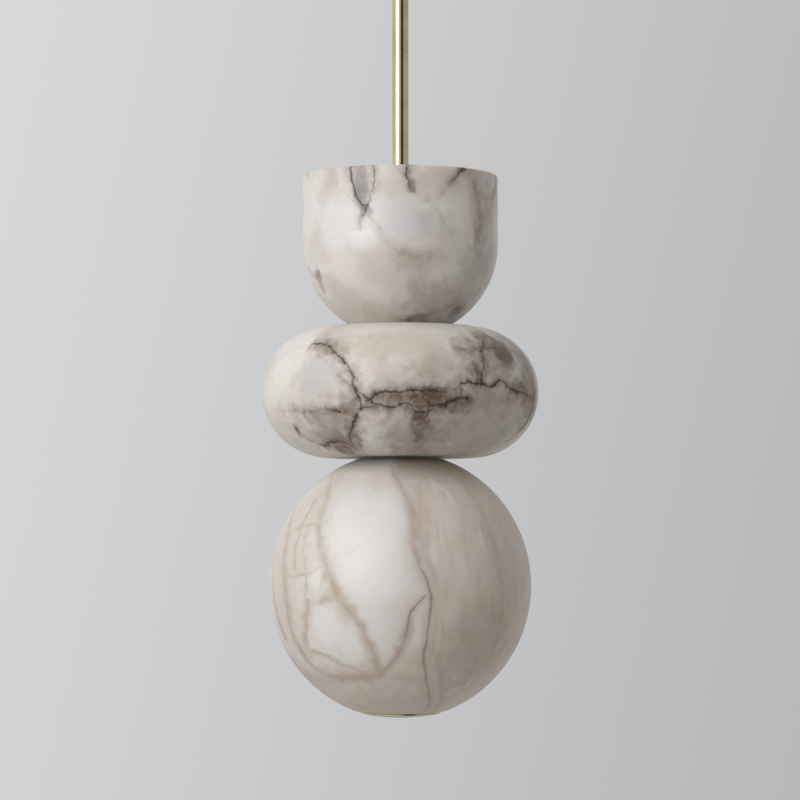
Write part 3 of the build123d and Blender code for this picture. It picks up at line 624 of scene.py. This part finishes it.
slate_patch = cup_stone.patches((362, 184, 9, 22, 1.0), (364, 204, 5, 8, 0.8), rough=1.2)
umber_patch = cup_stone.patches(
    (462, 169, 5, 3, 0.7), (476, 236, 5, 14, 0.35), (318, 277, 8, 6, 0.6), (322, 288, 6, 6, 0.45),
    (455, 312, 15, 7, 0.8), (415, 319, 26, 4, 0.7), (412, 186, 5, 7, 0.6), (366, 212, 7, 6, 0.5),
    (307, 172, 3, 7, 0.5),
)
lilac_patch = cup_stone.patches((402, 226, 18, 14, 1.0), (392, 206, 14, 9, 0.6))
white_patch = cup_stone.patches(
    (335, 225, 24, 26, 0.9), (360, 236, 18, 14, 0.8), (470, 175, 10, 6, 0.3),
)
cloud = cup_stone.noise(30, 5)
mist = cup_stone.noise(9, 5, wander=0.6, seed=90)
streak = cup_stone.noise(4, 4, stretch=(0.12, 0.12, 1.6))
grain = cup_stone.noise(1.0, 2)
white, cream, grey_cream = (0.84, 0.825, 0.82), (0.80, 0.765, 0.74), (0.68, 0.635, 0.60)
lilac, slate, tan = (0.74, 0.72, 0.765), (0.27, 0.235, 0.235), (0.50, 0.41, 0.335)
ash, umber, soot = (0.46, 0.41, 0.38), (0.16, 0.10, 0.07), (0.035, 0.03, 0.028)
brown_halo, crack_halo = (0.29, 0.205, 0.155), (0.19, 0.15, 0.135)
stone_colour = cup_stone.blend(cloud.fade(0.4, 0.7), cream, grey_cream)
stone_colour = cup_stone.blend(white_patch * 0.8, stone_colour, white)
stone_colour = cup_stone.blend(streak.fade(0.45, 0.75) * 0.2, stone_colour, grey_cream)
stone_colour = cup_stone.blend(grey_patch * (0.2 + 0.9 * mist), stone_colour, ash)
stone_colour = cup_stone.blend(tan_patch * (0.1 + 0.9 * mist), stone_colour, tan)
stone_colour = cup_stone.blend(lilac_patch * 0.7, stone_colour, lilac)
stone_colour = cup_stone.blend(slate_patch * (0.65 + 0.6 * mist), stone_colour, slate)
stone_colour = cup_stone.blend(brown.thin(0.5) * (0.1 + 1.1 * mist), stone_colour, brown_halo)
stone_colour = cup_stone.blend(umber_patch * (0.1 + 1.3 * mist), stone_colour, umber)
lit_line = (abs(diagonal) + 6 * diagonal_ends).fade(1.6, 0.2)
stone_colour = cup_stone.blend(lit_line * 0.5, stone_colour, cream)
stone_colour = cup_stone.blend(crack.thin(0.66) * (1.5 * mist - 0.05), stone_colour, crack_halo)
crack_share = crack.fade(1.1, 0.1) * (1.2 * mist + 0.8 * grain - 0.2)
stone_colour = cup_stone.blend(crack_share, stone_colour, soot)
cup_stone.feed("Base Color", stone_colour)
cup_stone.feed("Roughness", 0.36 + 0.12 * (cloud - 0.5) + 0.1 * crack.fade(2, 0))
cup_stone.emboss(crack.fade(0, 1.2) + 0.05 * grain, 0.05)
cup_in_radius, cup_in_depth = cup_radius - cup_wall, cup_bowl_depth - cup_wall
cup_ease = 0.0012
cup = turned(
    "stone_cup_shell",
    eased(
        [
            *bow(cup_radius, cup_bowl_depth, cup_low.z - bowl_z, 0, middle=bowl_z),
            (cup_radius, cup_high.z),
            (cup_in_radius, cup_high.z),
            *bow(
                cup_in_radius, cup_in_depth, 0, cup_low.z + cup_floor - bowl_z, middle=bowl_z
            ),
            (rod_way, cup_low.z + cup_floor),
            (rod_way, cup_low.z),
        ],
        cup_ease,
    ),
)
cup_stone.coat(cup)
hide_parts("stone_cup")
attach(cup, "pendant")


# Joints between the stones: a nylon hub keeps each stone true to the rod, and a silicone ring
# keeps the stones a millimetre apart, which shows as a thin dark line.
nylon.coat("cup_joint_hub", "ball_joint_hub")
silicone.coat("cup_joint_gasket", "ball_joint_gasket")


# Stone disc: two flats joined by a half-ellipse edge, hollowed for its lamps. Cream to the left
# and grey-brown to the right, with brown veins that branch across its front.
disc_low, disc_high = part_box("stone_disc")
disc_radius = disc_high.x
disc_flat = 0.055
disc_wall = 0.014
lamp_opening = 0.0225
disc_middle = (disc_low.z + disc_high.z) / 2
disc_half = (disc_high.z - disc_low.z) / 2
disc_edge = disc_radius - disc_flat


def disc_radius_at(height):
    rise = max(-disc_half, min(disc_half, height - disc_middle))
    return disc_flat + ellipse_width(disc_edge, disc_half, rise)


disc_reach = 0.06
disc_stone = Stone("disc_stone", disc_radius_at, disc_middle, disc_reach, wobble=5.0, jitter=4.5)
dark = disc_stone.veins(
    ("across", 1.0, [
        (305, 349, 0.6), (312, 344, 0.9), (318, 343.5, 1), (329, 348, 1), (334.5, 354, 1),
        (343, 361, 1), (350, 371, 0.9),
    ]),
    ("down", 1.0, [
        (343, 361, 0.9), (352, 374, 1), (353, 385, 1), (359, 398, 1), (360.4, 405.6, 1),
        (355, 418.6, 1), (352.6, 430, 1), (352, 442.6, 0.95), (356, 448, 0.8),
    ]),
    ("across", 0.9, [
        (299, 411, 0.7), (312, 411, 0.9), (325, 409, 0.8), (338, 411, 1), (346, 413, 0.9),
        (352, 408, 0.9), (360, 407.5, 1),
    ]),
    ("across", 1.4, [
        (362, 400, 0.9), (370.6, 400, 1), (373.4, 397, 1), (388, 391, 1), (403, 392, 1),
        (416, 389, 1), (428, 390, 1),
    ]),
    ("across", 1.9, [
        (429, 406, 1), (440, 405.6, 1), (451, 401, 1), (464, 398, 1), (469, 401, 0.9),
    ]),
    ("across", 1.3, [
        (460, 384, 0.9), (464, 382.5, 1), (480.6, 383.4, 1), (493.6, 384.4, 1), (501, 381, 1),
        (510, 389, 1), (517.6, 392, 1), (528.7, 396, 0.95), (532.4, 401, 0.9),
    ]),
    ("across", 1.0, [
        (370.6, 401, 1), (381, 405.6, 1), (392, 407, 1), (401, 404, 1), (408.5, 404, 1),
        (413, 410, 1), (425, 412, 1), (432, 408, 1),
    ]),
    ("down", 1.0, [
        (481.6, 382, 1), (482.5, 368.6, 1), (482.5, 357.5, 0.9), (481.6, 350, 1), (483.4, 337, 0.9),
        (476, 330, 0.5),
    ]),
    ("across", 1.1, [
        (479, 331, 0.9), (483.4, 333, 1), (490, 336, 1), (495.4, 344.6, 0.97), (498, 350, 0.85),
    ]),
    ("across", 1.0, [(484, 349, 0.88), (493.6, 348.5, 0.95), (499, 345, 0.85)]),
    ("down", 0.8, [(291.5, 422, 0.6), (296.5, 429.6, 1), (301, 438, 0.8)]),
    ("across", 0.9, [
        (316, 443.5, 0.8), (325, 446, 1), (334.5, 442.6, 1), (342, 441.7, 1), (349, 444.5, 1),
        (355, 448, 0.8),
    ]),
    ("down", 1.2, [
        (428.5, 389, 0.9), (428, 397, 0.8), (429, 405, 1), (427, 414, 1), (423, 424, 0.9),
        (424, 435, 0.6),
    ]),
    ("down", 1.2, [(462, 383, 0.9), (461, 391, 0.95), (464, 399, 0.9)]),
    ("down", 1.0, [(531.5, 400, 0.9), (531.5, 415, 0.85), (529, 425, 0.5)]),
    behind=(52, 1.1, 21.0),
)
taupe_patch = disc_stone.patches(
    (480, 432, 74, 32, 0.68), (420, 440, 44, 26, 0.85), (530, 385, 24, 56, 1.0),
    (336, 430, 32, 20, 1.0), (445, 370, 30, 18, 0.35), (455, 402, 90, 14, 0.75),
    (330, 348, 22, 8, 0.4), (350, 388, 12, 24, 0.4), (372, 450, 30, 10, 0.3),
    (490, 352, 40, 22, 0.85), (465, 352, 16, 18, 0.5), (300, 425, 14, 20, 0.35),
    behind=(70, 0.9, 60),
)
brown_patch = disc_stone.patches(
    (426, 397, 24, 12, 1.0), (421, 419, 11, 22, 0.85), (455, 402, 22, 11, 0.8),
    (478, 374, 14, 13, 0.8), (503, 352, 18, 16, 0.9), (402, 396, 26, 8, 0.85),
    (350, 408, 14, 9, 0.7), (344, 450, 16, 6, 0.9), (515, 388, 22, 9, 0.8), (340, 356, 10, 9, 0.35),
    (483, 338, 14, 9, 0.6), (352, 432, 7, 18, 0.6), (425, 432, 9, 14, 0.5), (532, 408, 7, 22, 0.9),
    (532, 385, 12, 30, 0.5),
    edge=1.0, rough=1.8,
)
lilac_patch = disc_stone.patches(
    (318, 378, 34, 20, 1.0), (385, 375, 28, 14, 0.4), (395, 430, 26, 18, 0.5),
)
warm_patch = disc_stone.patches(
    (395, 344, 60, 13, 0.9), (345, 345, 26, 10, 0.8), (425, 365, 26, 14, 0.5),
    (285, 425, 16, 20, 0.4),
)
cloud = disc_stone.noise(32, 5)
mist = disc_stone.noise(8, 6, wander=0.8, seed=50)
streak = disc_stone.noise(3, 3, stretch=(0.3, 0.3, 1.0), seed=4)
grain = disc_stone.noise(1.0, 2)
white, grey_cream = (0.80, 0.775, 0.745), (0.70, 0.655, 0.60)
lilac_cream, warm_cream = (0.60, 0.565, 0.56), (0.62, 0.545, 0.465)
taupe, dark_taupe = (0.36, 0.295, 0.255), (0.275, 0.22, 0.18)
brown_haze, black_brown = (0.155, 0.10, 0.068), (0.05, 0.033, 0.025)
stone_colour = disc_stone.blend(cloud.fade(0.4, 0.7), white, grey_cream)
stone_colour = disc_stone.blend(lilac_patch * 0.8, stone_colour, lilac_cream)
stone_colour = disc_stone.blend(warm_patch * (0.3 + 0.7 * mist), stone_colour, warm_cream)
stone_colour = disc_stone.blend(taupe_patch * (0.42 + 0.5 * mist), stone_colour, dark_taupe)
stone_colour = disc_stone.blend(streak.fade(0.5, 0.8) * 0.15, stone_colour, taupe)
haze_share = (brown_patch * (1.5 * mist + 0.22)).at_least(dark.thin(0.8) * (2.0 * mist - 0.1))
stone_colour = disc_stone.blend(haze_share, stone_colour, brown_haze)
vein_share = dark.fade(1.2, 0.1) * (1.6 * mist + 0.6 * grain - 0.25)
stone_colour = disc_stone.blend(vein_share, stone_colour, black_brown)
disc_stone.feed("Base Color", stone_colour)
disc_stone.feed("Roughness", 0.36 + 0.12 * (cloud - 0.5) + 0.08 * dark.fade(2, 0))
disc_stone.emboss(dark.fade(0, 1.2) + 0.05 * grain, 0.04)
hollow_half = disc_half - disc_wall
hollow_edge = disc_edge - disc_wall
edge_ease = 0.0008
disc = turned(
    "stone_disc_shell",
    eased(
        [
            *bow(disc_edge, disc_half, -disc_half, disc_half, disc_flat, disc_middle),
            (lamp_opening, disc_high.z),
            (lamp_opening, disc_high.z - disc_wall),
            *bow(hollow_edge, hollow_half, hollow_half, -hollow_half, disc_flat, disc_middle),
            (rod_way, disc_low.z + disc_wall),
            (rod_way, disc_low.z),
        ],
        edge_ease,
    ),
)
disc_stone.coat(disc)
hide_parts("stone_disc")
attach(disc, "pendant")


# Lamp sets in the disc and the ball: an aluminium carrier locked to the rod, with the same three
# holders and lamps as the cup's.
aluminium = metal("carrier_aluminium", (0.72, 0.72, 0.73), (0.6, 0.6, 0.62), roughness=0.34)
aluminium.coat("disc_lamp_carrier", "ball_lamp_carrier")
ceramic.coat("disc_lampholders", "ball_lampholders")
screw_steel.coat(
    "disc_holder_screws", "ball_holder_screws", "disc_carrier_grub_screw", "ball_carrier_grub_screw"
)
for stone in ("disc", "ball"):
    opal = capsule_glass(f"{stone}_opal_glass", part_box(f"{stone}_lampholders")[1].z)
    opal.coat(f"{stone}_lamps")


# Stone ball: turned round and cut flat above and below. White cloudy patches lie in a web of
# beige and grey-brown bands, with one long vein down its front.
ball_low, ball_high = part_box("stone_ball")
ball_radius = ball_high.x
ball_half = 0.1019
ball_foot_cut = 0.0056
ball_wall = 0.012
ball_floor = 0.018
recess_radius = 0.017
recess_depth = 0.012
ball_middle = ball_low.z + ball_half - ball_foot_cut
ball_above, ball_below = ball_high.z - ball_middle, ball_low.z - ball_middle


def ball_radius_at(height):
    rise = max(ball_below, min(ball_above, height - ball_middle))
    return ellipse_width(ball_radius, ball_half, rise)


ball_reach = 0.105
ball_stone = Stone("ball_stone", ball_radius_at, ball_middle, ball_reach, wobble=5.0, jitter=1.6)
seam_marks = [
    (396, 474, 0.6), (402, 489, 0.7), (410, 510, 0.8), (412, 545, 0.85), (418, 562, 0.95),
    (428, 584, 1), (431.5, 598, 1), (430, 615, 1), (427, 635, 1), (425, 675, 1), (426, 711, 0.95),
]
seam = ball_stone.veins(
    ("down", 1.4, seam_marks),
    ("down", 1.3, [(436, 600, 0.7), (435.5, 634, 0.8), (434, 654, 0.85), (433, 711, 0.9)]),
    ("down", 1.3, [
        (424.5, 596, 1), (411.5, 611, 1), (407, 630, 1), (402, 645, 0.9), (394, 662, 0.85),
        (383, 676, 0.8),
    ]),
    ("across", 1.2, [
        (300, 672, 0.8), (330, 681, 0.85), (366, 677, 0.85), (385, 677, 0.7), (425, 681, 0.8),
    ]),
    ("down", 1.2, [(460, 480, 0.5), (492, 540, 0.75), (502, 600, 0.7), (498, 640, 0.5)]),
    ("down", 1.2, [
        (419, 480, 0.5), (420, 510, 0.8), (423, 550, 0.8), (434, 580, 0.8), (440, 600, 0.6),
    ]),
    behind=(70, 1.4, 5.0),
)
web = ball_stone.veins(
    ("down", 3.6, [
        (334, 474, 0.9), (327, 497, 0.92), (320, 521, 0.95), (320.6, 548, 0.95), (328, 572, 1),
        (338, 595, 1), (350, 613, 1), (362.4, 629.6, 0.98), (370.6, 646, 1), (376, 662, 1),
        (381, 676, 1),
    ]),
    ("down", 3.4, [
        (301, 491, 0.85), (289, 527, 0.92), (284, 556, 0.97), (284, 580, 1), (287, 605, 1),
        (291, 630, 1), (299, 646, 1), (309, 662, 1), (326, 674, 1),
    ]),
    ("across", 2.6, [(309, 662, 1), (326, 674, 1), (354, 678, 1), (376, 674, 0.95)]),
    ("across", 1.8, [(307, 650, 0.92), (322, 655, 0.97), (338, 662, 0.97), (362, 672, 0.95)]),
    ("down", 2.8, [(308, 600, 0.97), (307, 620, 1), (306, 645, 0.97), (311, 658, 0.95)]),
    ("across", 3.2, [(303, 604, 0.85), (320, 601.5, 0.88), (340, 598, 0.9)]),
    ("down", 3.0, [
        (391, 466, 0.9), (402, 489, 0.95), (412, 512, 1), (414, 540, 0.95), (419, 562, 0.9),
    ]),
    ("across", 1.6, [(290, 577, 0.9), (307, 573, 0.92), (324, 564, 0.85)]),
    ("across", 1.5, [(291, 529, 0.85), (305, 526, 0.92), (322, 523, 0.85)]),
    ("down", 1.7, [(318, 497, 0.9), (300, 530, 0.93), (295, 555, 0.9), (296, 573, 0.85)]),
    ("down", 1.7, [(306, 535, 0.85), (303, 555, 0.85), (306, 575, 0.9), (305, 600, 0.85)]),
    ("down", 2.4, [(276, 545, 0.9), (273, 580, 0.95), (277, 615, 1), (286, 640, 0.95)]),
    ("down", 1.4, [(330, 640, 0.6), (340, 652, 0.85), (342, 664, 0.7)]),
    ("down", 1.2, [(352, 500, 0.6), (355, 520, 0.8), (348, 540, 0.6)]),
    ("down", 2.6, [(411, 611, 0.8), (407, 632, 0.95), (401, 648, 1), (388, 668, 1), (379, 678, 1)]),
    behind=(48, 3.0, 40.0),
)
left_of_seam = ball_stone.line("down", seam_marks)[0].fade(9, -6)
under = ball_stone.line("across", [
    (276, 640, 1), (290, 655, 1), (307, 668, 1), (328, 679, 1), (362, 676, 1), (383, 670, 1),
    (402, 655, 1), (425, 655, 1), (445, 655, 1),
])[0]
clouds_behind = ball_stone.noise(50, 3, seed=66).fade(0.42, 0.56)
pale_front = left_of_seam * under.fade(-7, 6) * (1 - ball_stone.back)
pale_side = pale_front.at_least(clouds_behind * ball_stone.back)
warm_side = ball_stone.patches(
    (284, 575, 38, 90, 1.0), (316, 505, 22, 40, 0.9), (345, 672, 50, 10, 0.6),
    (415, 660, 12, 12, 0.7), (385, 480, 26, 10, 0.5), (334, 596, 16, 14, 0.9),
    (345, 612, 12, 14, 0.9), (300, 640, 16, 30, 0.9), (372, 668, 14, 14, 0.9),
    edge=0.8,
)
bright = ball_stone.patches(
    (352, 520, 28, 30, 0.9), (383, 530, 26, 44, 0.9), (370, 575, 30, 30, 0.9),
    (328, 626, 18, 24, 0.8), (352, 646, 12, 16, 0.6), (315, 577, 7, 12, 0.8),
    (298, 593, 5, 16, 0.7), (372, 625, 16, 14, 0.3), (416, 632, 6, 16, 0.5),
    edge=0.8,
)
fleck = ball_stone.patches(
    (434, 486, 3, 6, 0.8), (450, 498, 3.5, 8, 0.9), (446, 520, 4, 16, 0.9), (434, 554, 4, 12, 1.0),
    (442, 535, 3, 16, 0.7), (481, 540, 3.5, 9, 0.9), (460, 572, 7, 18, 0.5), (438, 640, 3, 22, 0.5),
    (470, 682, 6, 4, 0.5), (455, 677, 5, 4, 0.5), (445, 510, 16, 26, 0.4), (452, 612, 10, 14, 0.4),
    rough=1.2,
)
# Painted shade on the ball: darker just under the disc, along its foot and in a wide area low on
# the right.
painted_shade = ball_stone.patches(
    (478, 645, 46, 46, 0.9), (400, 708, 120, 16, 0.5), (410, 472, 70, 8, 0.6),
    (510, 600, 20, 60, 0.3),
)
cloud = ball_stone.noise(26, 4)
mist = ball_stone.noise(10, 3, seed=20)
drawn = ball_stone.noise(7, 3, stretch=(1, 1, 0.2), seed=5)
white, lilac = (0.82, 0.81, 0.795), (0.70, 0.645, 0.62)
beige, brown_grey = (0.71, 0.625, 0.545), (0.45, 0.37, 0.305)
cream, grey_cream, rosy = (0.76, 0.735, 0.71), (0.68, 0.64, 0.61), (0.66, 0.585, 0.52)
web_beige, web_brown = (0.53, 0.44, 0.37), (0.42, 0.34, 0.28)
seam_halo, seam_brown = (0.42, 0.34, 0.285), (0.22, 0.165, 0.13)
taupe_side = ball_stone.blend(cloud.fade(0.35, 0.7), beige, lilac)
taupe_side = ball_stone.blend(drawn.fade(0.45, 0.75) * 0.3, taupe_side, brown_grey)
# The painted shade darkens the taupe side towards brown-grey.
taupe_side = ball_stone.blend(painted_shade * 0.5, taupe_side, brown_grey)
taupe_side = ball_stone.blend(fleck * 0.6, taupe_side, white)
clear_side = ball_stone.blend(0.5 * cloud.fade(0.4, 0.75), cream, grey_cream)
clear_side = ball_stone.blend(bright, clear_side, white)
clear_side = ball_stone.blend(warm_side * (0.3 + 0.7 * mist), clear_side, rosy)
stone_colour = ball_stone.blend(pale_side, taupe_side, clear_side)
stone_colour = ball_stone.blend(web.fade(2.7, 0.0) * (1.7 * mist - 0.1), stone_colour, web_beige)
stone_colour = ball_stone.blend(web.fade(0.5, 0.0) * (0.6 * mist), stone_colour, web_brown)
stone_colour = ball_stone.blend(seam.thin(0.8) * 0.55, stone_colour, seam_halo)
seam_share = seam.fade(1.1, 0.1) * (0.2 + 0.7 * mist)
stone_colour = ball_stone.blend(seam_share, stone_colour, seam_brown)
ball_stone.feed("Base Color", stone_colour)
ball_stone.feed("Roughness", 0.42 + 0.12 * (cloud - 0.5))
ball_stone.emboss(0.2 * cloud + 0.05 * ball_stone.noise(1.2), 0.05)
hollow_radius, hollow_half = ball_radius - ball_wall, ball_half - ball_wall
hollow_above, hollow_below = ball_above - ball_wall, ball_below + ball_floor
ball = turned(
    "stone_ball_shell",
    eased(
        [
            *bow(ball_radius, ball_half, ball_below, ball_above, middle=ball_middle),
            (lamp_opening, ball_high.z),
            (lamp_opening, ball_middle + hollow_above),
            *bow(hollow_radius, hollow_half, hollow_above, hollow_below, middle=ball_middle),
            (rod_way, ball_middle + hollow_below),
            (rod_way, ball_low.z + recess_depth),
            (recess_radius, ball_low.z + recess_depth),
            (recess_radius, ball_low.z),
        ],
        edge_ease,
    ),
)
ball_stone.coat(ball)
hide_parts("stone_ball")
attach(ball, "pendant")


# Bottom fixing: a washer and nut up inside the ball carry the stones, and a low turned brass cap
# with a thin seal hides them.
screw_steel.coat("support_washer", "support_nut")
cap_brass = turned_brass("cap_brass")
cap_brass.coat("end_cap")
silicone.coat("end_cap_seal")


# The room: a pale floor well below the light, one soft lamp high on the left, a dark flag on the
# right that draws the stem's dark line, and pale grey air that the brass also sees.
floor_z = -2.4
floor = bpy.data.objects.new("floor", bpy.data.meshes.new("floor"))
floor_sides, floor_radius = 96, 14.0
turns = [2 * math.pi * step / floor_sides for step in range(floor_sides)]
floor.data.from_pydata(
    [(floor_radius * math.cos(a), floor_radius * math.sin(a), floor_z) for a in turns],
    [],
    [tuple(range(floor_sides))],
)
bpy.context.scene.collection.objects.link(floor)
paving = Finish("pale_floor", {"Roughness": 0.8})
pale, paler = (0.77, 0.77, 0.77), (0.8, 0.8, 0.79)
paving.feed("Base Color", paving.blend(paving.noise(400, 3), pale, paler))
paving.coat(floor)

light_middle = Vector((0, 0, -0.45))
window = bpy.data.objects.new("window", bpy.data.lights.new("window", "AREA"))
window.data.shape = "RECTANGLE"
window.data.size, window.data.size_y = 1.5, 1.6
window.data.energy = 38
window.data.color = (1.0, 0.99, 0.98)
window.location = (-1.6, -1.8, 0.45)
window.rotation_mode = "QUATERNION"
window.rotation_quaternion = (light_middle - window.location).to_track_quat("-Z", "Y")
window.visible_camera = False
bpy.context.scene.collection.objects.link(window)

flag = bpy.data.objects.new("dark_flag", bpy.data.meshes.new("dark_flag"))
flag_left, flag_right, flag_foot, flag_top = (0.42, -2.75), (1.95, -2.15), -2.0, 1.2
flag_corners = [
    (*flag_left, flag_foot),
    (*flag_right, flag_foot),
    (*flag_right, flag_top),
    (*flag_left, flag_top),
]
flag.data.from_pydata(flag_corners, [], [(0, 1, 2, 3)])
bpy.context.scene.collection.objects.link(flag)
felt = Finish("black_felt", {"Roughness": 0.95, "Specular IOR Level": 0.1})
felt.feed("Base Color", felt.blend(felt.noise(20, 3), (0.02, 0.02, 0.02), (0.035, 0.035, 0.035)))
felt.coat(flag)
flag.visible_camera = False

world = bpy.data.worlds.new("air")
bpy.context.scene.world = world
world.use_nodes = True
air = Wiring(world.node_tree)
path = air.node("ShaderNodeLightPath", {}, {})
seen = path.also("Is Camera Ray").at_least(path.also("Is Glossy Ray"))
seen = seen.at_least(path.also("Is Transmission Ray"))
sight = air.node("ShaderNodeTexCoord", {}, {}, "Generated")
right = air.node("ShaderNodeSeparateXYZ", {}, {0: sight})
pale_left, grey_right, fill_light = (0.70, 0.71, 0.72), (0.46, 0.46, 0.475), (0.48, 0.46, 0.435)
rightward = (right + 0.25 * (0.1 - right.also(2))).fade(-0.28, 0.28)
wall = air.blend(rightward, pale_left, grey_right)
colour = air.blend(seen, fill_light, wall)
air.tree.links.new(colour.socket, air.tree.nodes["Background"].inputs["Color"])

bpy.context.scene.view_settings.view_transform = "Standard"
